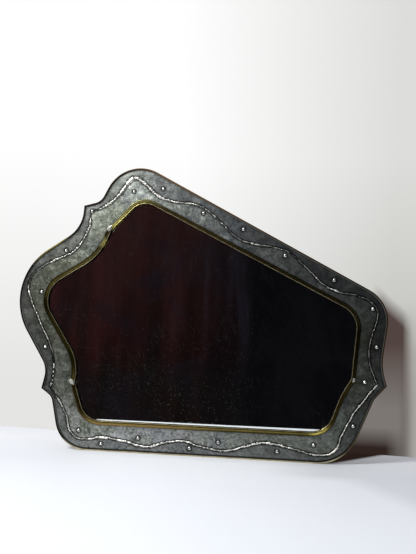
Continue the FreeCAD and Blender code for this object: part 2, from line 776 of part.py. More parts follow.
def hanger_strap(side, middle):
    """A strap with a rolled knuckle at its upper end and one screw hole."""
    name = f"hanger_strap_{side}"
    strap_left = f"{middle} - Sizes.strap_width / 2"
    flat = doc.addObject("Part::Box", f"{name}_flat")
    flat.setExpression("Length", "Sizes.strap_width")
    flat.setExpression("Width", "Sizes.strap_thickness")
    flat.setExpression("Height", "Sizes.strap_length")
    flat.setExpression("Placement.Base.x", strap_left)
    flat.setExpression("Placement.Base.y", CORE_BACK)
    flat.setExpression("Placement.Base.z", STRAP_FOOT)
    roll = knuckle_cylinder(f"{name}_roll", KNUCKLE_RADIUS, strap_left)
    bore = knuckle_cylinder(f"{name}_bore", "Sizes.ring_wire_radius + Sizes.ring_running_clearance", strap_left)
    joined = doc.addObject("Part::Fuse", f"{name}_joined")
    joined.Base = flat
    joined.Tool = roll
    return cut(name, joined, bore, hanger_screw_holes)


def knuckle_cylinder(name, radius, strap_left):
    """A cylinder along X on the ring's pivot."""
    cylinder = doc.addObject("Part::Cylinder", name)
    cylinder.Placement = Placement(Vector(), Rotation(Vector(0, 1, 0), 90))
    cylinder.setExpression("Radius", radius)
    cylinder.setExpression("Height", "Sizes.strap_width")
    cylinder.setExpression("Placement.Base.x", strap_left)
    cylinder.setExpression("Placement.Base.y", PIVOT)
    cylinder.setExpression("Placement.Base.z", HANGER_HEIGHT)
    return cylinder


def hanger_ring(side, middle):
    """A bent wire ring: a bar in the knuckle, two legs and a half-round bow, butted in the bar's middle."""
    half = size("ring_width") / 2
    leg = size("ring_leg")
    bend = size("ring_bend_radius")
    slack = size("ring_joint_gap") / 2
    swing = bend * (1 - math.sqrt(0.5))
    path = [
        Part.LineSegment(Vector(slack, 0, 0), Vector(half - bend, 0, 0)),
        Part.Arc(Vector(half - bend, 0, 0), Vector(half - swing, 0, swing), Vector(half, 0, bend)),
        Part.LineSegment(Vector(half, 0, bend), Vector(half, 0, leg)),
        Part.Arc(Vector(half, 0, leg), Vector(0, 0, leg + half), Vector(-half, 0, leg)),
        Part.LineSegment(Vector(-half, 0, leg), Vector(-half, 0, bend)),
        Part.Arc(Vector(-half, 0, bend), Vector(swing - half, 0, swing), Vector(bend - half, 0, 0)),
        Part.LineSegment(Vector(bend - half, 0, 0), Vector(-slack, 0, 0)),
    ]
    section = Part.Circle(Vector(slack, 0, 0), Vector(1, 0, 0), size("ring_wire_radius"))
    wire = Part.Wire([piece.toShape() for piece in path])
    ring = feature(f"hanger_ring_{side}", wire.makePipeShell([Part.Wire([section.toShape()])], True, False))
    drop = value_of(KNUCKLE_RADIUS) - size("ring_wire_radius") - size("ring_rest_gap")
    lean = math.degrees(math.asin(drop / (leg + half)))
    place = Vector(middle, value_of(PIVOT), value_of(HANGER_HEIGHT))
    ring.Placement = Placement(place, Rotation(Vector(1, 0, 0), lean))
    return ring


straps = [hanger_strap(side, middle) for side, middle in hangers.items()]
rings = [hanger_ring(side, middle) for side, middle in hangers.items()]
doc.recompute()


# Checks and export

nodes = [core, outer_plate, inner_plate, glass, panel, panel_screws, hanger_screws, outer_studs, inner_studs,
         rim_joints, *edge_strips.values(), *sight_rims.values(), *beads.values(), *straps, *rings]
for item in doc.Objects:
    if "Invalid" in item.State or "Error" in item.State:
        raise RuntimeError(f"{item.Label} failed: {item.State}")
os.makedirs("parts", exist_ok=True)
for node in nodes:
    if node.Shape.isNull() or not node.Shape.isValid():
        raise RuntimeError(f"{node.Label} has no valid shape")
    print(node.Label, len(node.Shape.Solids), round(node.Shape.Volume, 1))
    node.Shape.exportStep(f"parts/{node.Label}.step")
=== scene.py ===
import math

import bmesh
import bpy
import numpy as np
from mathutils import Matrix, Vector, kdtree, noise
from mathutils.bvhtree import BVHTree
from mathutils.geometry import delaunay_2d_cdt


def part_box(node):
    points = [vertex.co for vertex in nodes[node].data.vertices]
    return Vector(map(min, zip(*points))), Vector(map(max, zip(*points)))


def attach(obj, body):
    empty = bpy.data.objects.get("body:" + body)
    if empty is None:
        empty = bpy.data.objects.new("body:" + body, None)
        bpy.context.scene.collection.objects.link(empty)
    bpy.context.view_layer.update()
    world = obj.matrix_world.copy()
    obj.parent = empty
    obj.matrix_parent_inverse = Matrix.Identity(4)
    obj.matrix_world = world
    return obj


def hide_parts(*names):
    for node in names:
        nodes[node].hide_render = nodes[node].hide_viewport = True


# Wall mirror: two patinated plates meet in a wavy soldered seam, with domed nails, brass edging and glass.
# Metres. The front faces -Y, Z is up, and the origin is the middle of the flat bottom edge.

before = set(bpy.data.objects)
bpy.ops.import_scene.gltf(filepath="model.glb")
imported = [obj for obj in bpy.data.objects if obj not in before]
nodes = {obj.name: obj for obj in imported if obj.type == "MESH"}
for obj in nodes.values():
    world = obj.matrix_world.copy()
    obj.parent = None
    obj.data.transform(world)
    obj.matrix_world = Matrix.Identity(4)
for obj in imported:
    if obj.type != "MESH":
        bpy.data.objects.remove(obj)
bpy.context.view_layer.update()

SEED = 11
draw = np.random.default_rng(SEED)

MM = 0.001
# The numbers of the axes x, y and z.
ACROSS, DEPTH, UP = range(3)
BODY = "mirror"
RUNS = ["upper", "lower", "left"]
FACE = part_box("outer_face_plate")[0].y
PLATE_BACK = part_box("outer_face_plate")[1].y
CORE_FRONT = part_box("core_ring")[0].y
STRIP_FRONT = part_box("edge_strip_left")[0].y
GLASS_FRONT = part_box("mirror_glass")[0].y
GLASS_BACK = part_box("mirror_glass")[1].y


# Outlines read off the solids

SAME_DEPTH = 0.01 * MM
FEWEST_POINTS = 8
PIN_REACH = 8 * MM
SIDE_SPAN = 3
SEAM_STEP = 0.6 * MM


def front_loops(node):
    """The outlines of a plate's front face as arrays of (x, z), the longest first."""
    mesh = nodes[node].data
    places = np.array([vertex.co for vertex in mesh.vertices])
    is_front = places[:, DEPTH] < places[:, DEPTH].min() + SAME_DEPTH
    keys = [tuple(row) for row in places[:, (ACROSS, UP)].round(6).tolist()]
    directed = set()
    for polygon in mesh.polygons:
        corners = list(polygon.vertices)
        if all(is_front[corner] for corner in corners):
            directed.update((keys[a], keys[b]) for a, b in zip(corners, corners[1:] + corners[:1]))
    onward = {a: b for a, b in directed if (b, a) not in directed}
    loops = []
    while onward:
        start, place = onward.popitem()
        loop = [start]
        while place != start:
            loop.append(place)
            place = onward.pop(place)
        loops.append(np.array(loop))
    return sorted(loops, key=loop_length, reverse=True)


def loop_length(loop):
    """The length once round a loop."""
    return np.linalg.norm(np.roll(loop, -1, axis=0) - loop, axis=1).sum()


def resampled(loop, step):
    """A loop with evenly spaced points."""
    closed = np.vstack([loop, loop[:1]])
    travelled = np.concatenate([[0], np.cumsum(np.linalg.norm(np.diff(closed, axis=0), axis=1))])
    count = max(FEWEST_POINTS, round(travelled[-1] / step))
    wanted = np.arange(count) * travelled[-1] / count
    return np.column_stack([np.interp(wanted, travelled, closed[:, axis]) for axis in (0, 1)])


def tree_of(points):
    """A search tree over (x, z) points."""
    tree = kdtree.KDTree(len(points))
    for index, (x, z) in enumerate(points):
        tree.insert((x, 0, z), index)
    tree.balance()
    return tree


def distances(points, tree):
    """How far each (x, z) point is from the nearest point of a tree."""
    return np.array([tree.find((x, 0, z))[2] for x, z in points])


def inside(points, loops):
    """Which (x, z) points lie within the first loop and outside the others, by counting crossings."""
    result = np.zeros(len(points), bool)
    for loop in loops:
        for (x0, z0), (x1, z1) in zip(loop, np.roll(loop, -1, axis=0)):
            if z0 != z1:
                crosses = (z0 > points[:, 1]) != (z1 > points[:, 1])
                result ^= crosses & (points[:, 0] < x0 + (points[:, 1] - z0) * (x1 - x0) / (z1 - z0))
    return result


def centres_of(node):
    """The (x, z) middle of each separate pin in a node."""
    found = []
    for vertex in nodes[node].data.vertices:
        place = np.array([vertex.co.x, vertex.co.z])
        for group in found:
            if np.linalg.norm(group[0] - place) < PIN_REACH:
                group.append(place)
                break
        else:
            found.append([place])
    return [(np.min(group, axis=0) + np.max(group, axis=0)) / 2 for group in found]


def sides_of(loop):
    """The direction across a loop at each of its points."""
    travel = np.roll(loop, -SIDE_SPAN, axis=0) - np.roll(loop, SIDE_SPAN, axis=0)
    travel /= np.linalg.norm(travel, axis=1)[:, None]
    return np.column_stack([-travel[:, 1], travel[:, 0]])


seam, window = [resampled(loop, SEAM_STEP) for loop in front_loops("inner_face_plate")[:2]]
seam_tree = tree_of(seam)
seam_side = sides_of(seam)
window_tree = tree_of(window)
stud_places = centres_of("outer_plate_studs") + centres_of("inner_plate_studs")
stud_tree = tree_of(stud_places)
outer_edge = resampled(front_loops("outer_face_plate")[0], SEAM_STEP)
outer_edge_tree = tree_of(outer_edge)


# Nodes of a material or of the surroundings

# Specks: the part of their radius that is solid, and the margin about their share where they are faint.
SPECK_CORE = 0.7
SPECK_DOUBT = 0.05


class Shader:
    """The nodes of a material or a world, added one after another."""

    def __init__(self, owner, surface="Principled BSDF", coordinates="Object"):
        owner.use_nodes = True
        self.owner = owner
        self.tree = owner.node_tree
        self.surface = self.tree.nodes[surface]
        self.place = self.add("ShaderNodeTexCoord").outputs[coordinates]

    def add(self, kind, inputs=None, **settings):
        """A node with its settings, and its inputs linked or set by name or number."""
        node = self.tree.nodes.new(kind)
        for key, value in settings.items():
            setattr(node, key, value)
        self.fill(node, inputs or {})
        return node

    def fill(self, node, inputs):
        """Links or sets inputs."""
        for key, value in inputs.items():
            if isinstance(value, bpy.types.NodeSocket):
                self.tree.links.new(value, node.inputs[key])
            else:
                node.inputs[key].default_value = value

    def finish(self, **inputs):
        """Fills the surface's inputs, with spaces in their names as underscores."""
        self.fill(self.surface, {key.replace("_", " "): value for key, value in inputs.items()})
        return self.owner

    def stretched(self, x, y, z):
        """Coordinates scaled along each axis."""
        return self.add("ShaderNodeMapping", {"Vector": self.place, "Scale": (x, y, z)}).outputs[0]

    def noise(self, scale, detail=4.0, roughness=0.55, distortion=0.0, place=None):
        """Cloudy noise, 0 to 1."""
        return self.add("ShaderNodeTexNoise", {
            "Vector": place or self.place, "Scale": scale, "Detail": detail, "Roughness": roughness,
            "Distortion": distortion}).outputs[0]

    def scatter(self, scale):
        """Scattered points: the distance to the nearest of them, and a random colour that it has."""
        return self.add("ShaderNodeTexVoronoi", {"Vector": self.place, "Scale": scale}).outputs

    def specks(self, scale, size, share):
        """Round specks with soft edges at a share of scattered points."""
        points = self.scatter(scale)
        near = self.spread(points["Distance"], size, SPECK_CORE * size)
        lot = self.add("ShaderNodeSeparateXYZ", {0: points["Color"]}).outputs[0]
        return self.times(near, self.spread(lot, share + SPECK_DOUBT, share - SPECK_DOUBT))

    def axis(self, number):
        """One coordinate of the place on the object."""
        return self.add("ShaderNodeSeparateXYZ", {0: self.place}).outputs[number]

    def attribute(self, name):
        """A number kept on the mesh."""
        return self.add("ShaderNodeAttribute", attribute_name=name).outputs["Fac"]

    def spread(self, value, low, high, new_low=0.0, new_high=1.0):
        """A value taken from one range to another, and held within it."""
        return self.add("ShaderNodeMapRange", {
            "Value": value, "From Min": low, "From Max": high,
            "To Min": new_low, "To Max": new_high}).outputs[0]

    def along(self, axis, start, end, new_start=0.0, new_end=1.0):
        """A ramp between two places along an axis."""
        return self.spread(self.axis(axis), start, end, new_start, new_end)

    def near(self, point, outer, inner, strength):
        """A spot round a point: nothing beyond the outer distance, and full strength within the inner one."""
        away = self.add("ShaderNodeVectorMath", {0: self.place, 1: point}, operation="DISTANCE")
        return self.spread(away.outputs["Value"], outer, inner, 0.0, strength)

    def sums(self, operation, first, second):
        """One step of arithmetic."""
        return self.add("ShaderNodeMath", {0: first, 1: second}, operation=operation).outputs[0]

    def times(self, first, *others):
        """The product of all the values."""
        for other in others:
            first = self.sums("MULTIPLY", first, other)
        return first

    def mix(self, factor, first, second):
        """Two colours mixed."""
        return self.add("ShaderNodeMix", {0: factor, 6: first, 7: second}, data_type="RGBA").outputs[2]

    def layers(self, base, *layers):
        """Colours laid over a base one after another, each with its share first."""
        for share, shade in layers:
            base = self.mix(share, base, shade)
        return base

    def bump(self, height, distance, strength=1.0):
        """A normal from a height."""
        return self.add("ShaderNodeBump", {
            "Height": height, "Distance": distance, "Strength": strength}).outputs[0]


def colour(red, green, blue):
    """A screen colour, 0 to 255, as the linear colour that a shader takes, by the sRGB curve."""
    def linear(level):
        share = level / 255
        return share / 12.92 if share <= 0.04045 else ((share + 0.055) / 1.055) ** 2.4
    return linear(red), linear(green), linear(blue), 1.0


def new_shader(name):
    """The nodes of a new material."""
    return Shader(bpy.data.materials.new(name))


# Materials

# Soot, also used for painted shade, and pale wipes with painted floor reflection.
SOOT_AND_SHADE = colour(26, 27, 25)
WIPED_AND_REFLECTED = colour(207, 204, 206)
LOW_DOWN = (0.12, 0.03)
# Places where highlights are painted: on the rims at the top kink and the low corner, and on the left edge
# strip.
TOP_KINK = (-0.165, -0.003, 0.345)
LOW_CORNER = (0.204, -0.002, 0.047)
LEFT_GLINT = (-0.245, 0.0, 0.315)
LIP_CREST = -1.6 * MM
LIP_RADIUS = 0.9 * MM


def calmed(shader, mottles):
    """Mottles with less contrast in the upper half."""
    average = 0.28
    to_average = shader.sums("SUBTRACT", average, mottles)
    return shader.sums("ADD", mottles, shader.times(to_average, shader.along(UP, 0.12, 0.24, 0.0, 0.5)))


def wipes_and_reflection(shader, low_strength):
    """Pale wipes with painted floor reflection, most of them low down on the left half."""
    smears = shader.noise(1.0, 6, 0.7, 0.8, place=shader.stretched(44, 44, 60))
    # Painted floor reflection: the wipes are paler low down and on the left half.
    low_down = shader.along(UP, *LOW_DOWN, 0.15, low_strength)
    left_half = shader.along(ACROSS, 0.14, -0.02, 0.25, 1.0)
    return shader.times(shader.spread(smears, 0.4, 0.68), low_down, left_half)


def patina(name, dark, middle, pale, olive, blue, low_wipes_and_reflection):
    """Grey sheet: olive and blue clouds, pale mottles, pale wipes with painted floor reflection, freckles,
    pits, painted shade towards the right, and the mesh's soot with painted shade along the outer edge.
    """
    shader = new_shader(name)
    clouds = shader.spread(shader.noise(22, 5, 0.62, 0.5), 0.34, 0.66)
    hues = shader.spread(shader.noise(13, 3, 0.5, 0.3), 0.4, 0.6)
    mottles = shader.spread(shader.noise(75, 8, 0.76, 0.35), 0.46, 0.70)
    grain = shader.spread(shader.noise(1100, 3, 0.7), 0.3, 0.7)
    pits = shader.spread(shader.scatter(240)["Distance"], 0.28, 0.05)
    freckles = shader.noise(330, 4, 0.65, 0.4)
    freckled = shader.times(shader.along(UP, *LOW_DOWN, 0.5, 0.9), shader.along(ACROSS, 0.02, 0.16, 1.0, 0.5))
    on_slope = shader.times(shader.along(ACROSS, -0.14, -0.02, 0.0, 0.4), shader.along(UP, 0.2, 0.26))
    base = shader.layers(
        shader.mix(clouds, dark, middle),
        (shader.times(hues, 0.4), olive),
        (shader.spread(hues, 0.3, 0.0, 0.0, 0.4), blue),
        (shader.along(ACROSS, -0.11, -0.24, 0.0, 0.55), olive),
        (on_slope, blue),
        (shader.times(calmed(shader, mottles), shader.spread(clouds, 0.2, 0.8, 0.25, 0.75)), pale),
        (wipes_and_reflection(shader, low_wipes_and_reflection), WIPED_AND_REFLECTED),
        (shader.times(shader.spread(freckles, 0.52, 0.68), freckled), pale),
        (shader.times(shader.spread(freckles, 0.46, 0.3), freckled), SOOT_AND_SHADE),
        # Painted shade: the plate darkens towards the right, away from the key light.
        (shader.along(ACROSS, -0.07, 0.24, 0.07, 0.36), SOOT_AND_SHADE),
        (shader.times(pits, grain, 0.9), SOOT_AND_SHADE),
        # From the mesh: soot along the solder, round the nails and by the rims, and soot with painted shade
        # along the outer edge.
        (shader.attribute("soot_and_edge_shade"), SOOT_AND_SHADE))
    dullness = shader.sums("ADD", mottles, shader.times(grain, 0.6))
    rough = shader.spread(dullness, 0.0, 1.4, 0.25, 0.43)
    dents = shader.sums("ADD", shader.noise(70, 2), shader.times(shader.noise(420, 4), 0.25))
    normal = shader.bump(dents, 0.6 * MM, 0.5)
    return shader.finish(Base_Color=base, Metallic=0.9, Roughness=rough, Normal=normal)


def brass(shader, bright, tarnish, wear_and_light):
    """Aged brass: brown to black, and bright where wear and painted highlights are high."""
    patches = shader.spread(shader.noise(38, 5, 0.65, 0.5), 0.3, 0.7, 0.6, 1.3)
    pores = shader.spread(shader.noise(520, 4, 0.7), 0.55, 0.8)
    # The bright share: wear together with painted highlights.
    brightened = shader.add("ShaderNodeClamp", {0: shader.times(wear_and_light, patches)}).outputs[0]
    base = shader.layers(tarnish, (brightened, bright), (shader.times(pores, 0.45), colour(18, 14, 9)))
    rough = shader.spread(brightened, 0.0, 1.0, 0.36, 0.22)
    normal = shader.bump(shader.noise(260, 3, 0.6), 0.12 * MM, 0.4)
    return {"Base_Color": base, "Metallic": 1.0, "Roughness": rough, "Normal": normal}


def edge_brass(name):
    """The outer strips: black on the left with a gold glint, brown elsewhere, rubbed and painted pale with
    light at the bottom.
    """
    shader = new_shader(name)
    brown = shader.mix(shader.along(UP, 0.1, 0.25), colour(150, 134, 98), colour(160, 112, 64))
    front_edge = shader.along(DEPTH, STRIP_FRONT + 3 * MM, STRIP_FRONT + 1 * MM)
    glint = shader.times(shader.near(LEFT_GLINT, 45 * MM, 25 * MM, 0.8), front_edge)
    tarnish = shader.layers(
        colour(34, 27, 16),
        (shader.along(ACROSS, -0.14, -0.04, 0.0, 0.36), brown),
        (glint, colour(168, 152, 84)))
    # Rubbed wear with painted light: the strip is paler along the bottom.
    rub_and_highlight = shader.along(UP, 20 * MM, 5 * MM, 0.0, 0.9)
    return shader.finish(**brass(shader, colour(206, 194, 158), tarnish, rub_and_highlight))


def rim_wear_and_highlights(shader, top_highlight):
    """How bright a sight rim is: painted highlights at the top kink and the low corner, a little wear low
    down and at the left, and painted shade down the slope by the plate.
    """
    low_wear = shader.along(UP, 0.13, 0.05, 0.05, 0.14)
    left_wear = shader.along(ACROSS, -0.12, -0.17, 0.0, 0.17)
    # Painted highlight on the rim at the low corner.
    corner_highlight = shader.near(LOW_CORNER, 24 * MM, 8 * MM, 0.8)
    # Painted shade: less bright down the slope next to the plate.
    slope_shade = shader.along(DEPTH, -4.6 * MM, -2.6 * MM, 0.15, 1.0)
    worn_and_lit = shader.sums("MAXIMUM", shader.sums("MAXIMUM", low_wear, left_wear), corner_highlight)
    return shader.sums("MAXIMUM", top_highlight, shader.times(worn_and_lit, slope_shade))


def crest_rub_and_highlight(shader, rounded):
    """Where the crest of a rim's lip is rubbed and painted pale as a highlight: on its front, in patches, and
    less at the left.
    """
    off_crest = shader.sums("SUBTRACT", shader.axis(DEPTH), LIP_CREST)
    from_crest = shader.add("ShaderNodeMath", {0: off_crest}, operation="ABSOLUTE").outputs[0]
    facing = shader.add("ShaderNodeSeparateXYZ", {0: rounded}).outputs[DEPTH]
    at_crest = shader.spread(from_crest, 0.4 * MM, 0.15 * MM)
    on_front = shader.spread(facing, -0.9, -0.98)
    patchy = shader.spread(shader.noise(90, 4), 0.3, 0.6, 0.4, 0.85)
    return shader.times(at_crest, on_front, patchy, shader.along(ACROSS, -0.24, -0.14, 0.8, 1.0))


def rim_brass(name, bright_reach):
    """A sight rim: painted shade on the slope, in the valley and at the upper right, a rubbed lip crest
    painted pale as a highlight, and a painted highlight within reach of the top kink.
    """
    shader = new_shader(name)
    # Painted highlight round the top kink.
    top_highlight = shader.near(TOP_KINK, bright_reach, bright_reach / 3, 0.9)
    rounded = shader.add("ShaderNodeBevel", {"Radius": LIP_RADIUS}, samples=6).outputs[0]
    # The crest of the lip: rubbed and painted pale as a highlight.
    rub_and_highlight = crest_rub_and_highlight(shader, rounded)
    # Painted shade: in the valley behind the lip except under the top highlight, and on the upper right.
    valley_shade = shader.times(
        shader.along(DEPTH, -1.9 * MM, -1.4 * MM, 0.0, 0.85), shader.sums("SUBTRACT", 1.0, top_highlight))
    upper_right_shade = shader.times(shader.along(UP, 0.13, 0.17), shader.along(ACROSS, -0.02, 0.12), 0.75)
    low_left = shader.times(shader.along(UP, 0.14, 0.09), shader.along(ACROSS, 0.06, -0.08))
    # Under the top highlight, the slope next to the plate is painted plate grey instead.
    beside_plate = shader.times(top_highlight, shader.along(DEPTH, -3.2 * MM, -4.0 * MM))
    looks = brass(shader, colour(212, 198, 108), colour(44, 35, 13), rim_wear_and_highlights(shader, top_highlight))
    looks["Base_Color"] = shader.layers(
        looks["Base_Color"],
        (valley_shade, colour(14, 11, 5)),
        (upper_right_shade, colour(20, 16, 6)),
        (rub_and_highlight, colour(196, 180, 138)),
        (shader.times(low_left, shader.along(DEPTH, -2.2 * MM, -2.8 * MM, 0.0, 0.5)), colour(132, 108, 66)),
        (beside_plate, colour(120, 126, 118)))
    looks["Metallic"] = shader.spread(rub_and_highlight, 0.0, 1.0, 1.0, 0.35)
    shader.fill(looks["Normal"].node, {"Normal": rounded})
    return shader.finish(**looks)


def bright_metal(name, pale, grey, black, scale, metallic, roughness, dull_mark=None):
    """Tinned or plated metal, dull in patches, dark in its pores, and dark where a mark on the mesh says."""
    shader = new_shader(name)
    patches = shader.spread(shader.noise(scale, 4, 0.6), 0.35, 0.7)
    pores = shader.spread(shader.noise(scale * 6, 4, 0.7), 0.55, 0.75)
    base = shader.layers(pale, (patches, grey), (shader.times(pores, 0.5), black))
    if dull_mark:
        base = shader.mix(shader.attribute(dull_mark), base, black)
    rough = shader.spread(patches, 0.0, 1.0, *roughness)
    normal = shader.bump(shader.noise(scale * 4, 4, 0.6), 0.2 * MM, 0.5)
    return shader.finish(Base_Color=base, Metallic=metallic, Roughness=rough, Normal=normal)


def silvered_glass(name):
    """Mirror silver under glass, with dust that gathers low down on the left, and faint wiped smudges."""
    shader = new_shader(name)
    thin_out = shader.spread(shader.noise(11, 3), 0.38, 0.64, 0.15, 1.0)
    settled = shader.times(shader.along(UP, 0.24, 0.1, 0.25, 1.0), shader.along(ACROSS, 0.16, 0.0, 0.4, 1.0))
    dust = shader.times(shader.specks(330, 0.24, 0.5), thin_out, settled, 0.13)
    smears = shader.noise(1.0, 4, 0.6, 1.5, place=shader.stretched(26, 26, 9))
    haze = shader.sums("MAXIMUM", dust, shader.spread(smears, 0.4, 0.75, 0.0, 0.003))
    base = shader.mix(haze, colour(240, 243, 242), colour(150, 146, 146))
    metallic = shader.sums("SUBTRACT", 1.0, haze)
    rough = shader.spread(haze, 0.0, 0.5, 0.0, 0.4)
    return shader.finish(Base_Color=base, Metallic=metallic, Roughness=rough)


def plywood(name):
    """Birch plywood: long pale grain, darker streaks and pores, and painted shade on its front, in the groove
    by the edge strips.
    """
    shader = new_shader(name)
    grain = shader.noise(1.0, 6, 0.6, 0.6, place=shader.stretched(9, 300, 160))
    streaks = shader.noise(1.0, 3, 0.5, 0.3, place=shader.stretched(4, 120, 40))
    # Painted shade in the groove: black low down, dark grey higher up.
    groove_shade = shader.mix(shader.along(UP, 0.02, 0.06), SOOT_AND_SHADE, colour(84, 87, 84))
    base = shader.layers(
        colour(182, 148, 104),
        (shader.spread(grain, 0.35, 0.7), colour(132, 98, 62)),
        (shader.spread(streaks, 0.5, 0.75, 0.0, 0.7), colour(98, 70, 44)),
        (shader.spread(shader.noise(30, 4), 0.5, 0.8, 0.0, 0.5), colour(74, 58, 42)),
        (shader.along(DEPTH, CORE_FRONT + 0.6 * MM, CORE_FRONT + 0.2 * MM), groove_shade))
    rough = shader.spread(grain, 0.3, 0.7, 0.6, 0.8)
    return shader.finish(Base_Color=base, Roughness=rough, Normal=shader.bump(grain, 0.25 * MM, 0.6))


def hardboard(name):
    """Brown pressed fibre board with a fine weave of fibres and old stains."""
    shader = new_shader(name)
    fibres = shader.noise(650, 5, 0.75, 1.2)
    stains = shader.noise(11, 4, 0.6, 0.5)
    base = shader.layers(
        colour(92, 64, 42),
        (shader.spread(fibres, 0.35, 0.68), colour(134, 98, 66)),
        (shader.spread(stains, 0.5, 0.72, 0.0, 0.6), colour(70, 50, 36)))
    rough = shader.spread(fibres, 0.3, 0.7, 0.62, 0.85)
    return shader.finish(Base_Color=base, Roughness=rough, Normal=shader.bump(fibres, 0.3 * MM, 0.7))


def zinc_steel(name):
    """Zinc-plated steel with rust starting in spots."""
    shader = new_shader(name)
    spangle = shader.noise(240, 4, 0.6)
    rust = shader.spread(shader.noise(120, 6, 0.7, 0.6), 0.56, 0.72)
    base = shader.layers(
        colour(150, 150, 146),
        (shader.spread(spangle, 0.35, 0.65), colour(198, 198, 194)),
        (rust, colour(104, 62, 36)))
    rough = shader.spread(rust, 0.0, 1.0, 0.32, 0.7)
    metallic = shader.spread(rust, 0.0, 1.0, 1.0, 0.3)
    normal = shader.bump(shader.noise(500, 4), 0.12 * MM, 0.6)
    return shader.finish(Base_Color=base, Metallic=metallic, Roughness=rough, Normal=normal)


materials = {
    "outer": patina(
        "outer_patina", dark=colour(76, 79, 77), middle=colour(112, 116, 114), pale=colour(158, 162, 158),
        olive=colour(103, 106, 97), blue=colour(102, 108, 120), low_wipes_and_reflection=0.35),
    "inner": patina(
        "inner_patina", dark=colour(82, 87, 82), middle=colour(126, 132, 126), pale=colour(206, 211, 204),
        olive=colour(112, 119, 91), blue=colour(112, 120, 132), low_wipes_and_reflection=0.72),
    "edge": edge_brass("blackened_brass"),
    # The rims' brass: wear with painted highlights and painted shade.
    "upper_rim": rim_brass("brass_upper_worn_and_highlit", bright_reach=120 * MM),
    "rim": rim_brass("brass_worn_and_highlit", bright_reach=12 * MM),
    "drops": bright_metal(
        "solder", pale=colour(226, 223, 216), grey=colour(120, 118, 112), black=colour(60, 59, 55),
        scale=420, metallic=0.7, roughness=(0.2, 0.4)),
    "bead": bright_metal(
        "drawn_solder", pale=colour(244, 241, 234), grey=colour(206, 204, 197), black=colour(84, 83, 78),
        scale=260, metallic=0.6, roughness=(0.22, 0.42), dull_mark="dull"),
    "studs": bright_metal(
        "plated_nails", pale=colour(228, 228, 224), grey=colour(186, 186, 181), black=colour(50, 50, 46),
        scale=200, metallic=1.0, roughness=(0.18, 0.32)),
    "glass": silvered_glass("silvered_glass"),
    "wood": plywood("plywood"),
    "board": hardboard("hardboard"),
    "steel": zinc_steel("zinc_steel"),
}
NODE_MATERIALS = {
    "wood": ["core_ring"],
    "board": ["back_panel"],
    "steel": ["back_panel_screws", "hanger_screws", "hanger_strap_left", "hanger_strap_right",
              "hanger_ring_left", "hanger_ring_right"],
    "studs": ["outer_plate_studs", "inner_plate_studs"],
    "drops": ["rim_solder_joints"],
    "edge": [f"edge_strip_{run}" for run in RUNS],
    "upper_rim": ["sight_rim_upper"],
    "rim": ["sight_rim_lower", "sight_rim_left"],
}


def dress(thing, material):
    """Gives an object one material."""
    thing.data.materials.clear()
    thing.data.materials.append(materials[material])


for material, members in NODE_MATERIALS.items():
    for member in members:
        dress(nodes[member], material)


# Pieces made here in place of CAD nodes

def new_piece(name, vertices, faces, material, replaced):
    """A made piece that rides on the mirror and stands for a CAD node."""
    mesh = bpy.data.meshes.new(name)
    mesh.from_pydata(vertices, [], faces)
    shape = bmesh.new()
    shape.from_mesh(mesh)
    bmesh.ops.recalc_face_normals(shape, faces=shape.faces)
    shape.to_mesh(mesh)
    shape.free()
    piece = bpy.data.objects.new(name, mesh)
    bpy.context.scene.collection.objects.link(piece)
    dress(piece, material)
    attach(piece, BODY)
    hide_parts(replaced)
    return piece


def mark(piece, name, levels):
    """Keeps a number for each vertex of a piece, for its material to read."""
    kept = piece.data.attributes.new(name, "FLOAT", "POINT")
    kept.data.foreach_set("value", levels)


# The solder's strength along the seam: thick where it was fed on and thin where it was drawn out

BEAD_HALF_WIDTH = 1.7 * MM
BEAD_COVER = 0.3 * MM
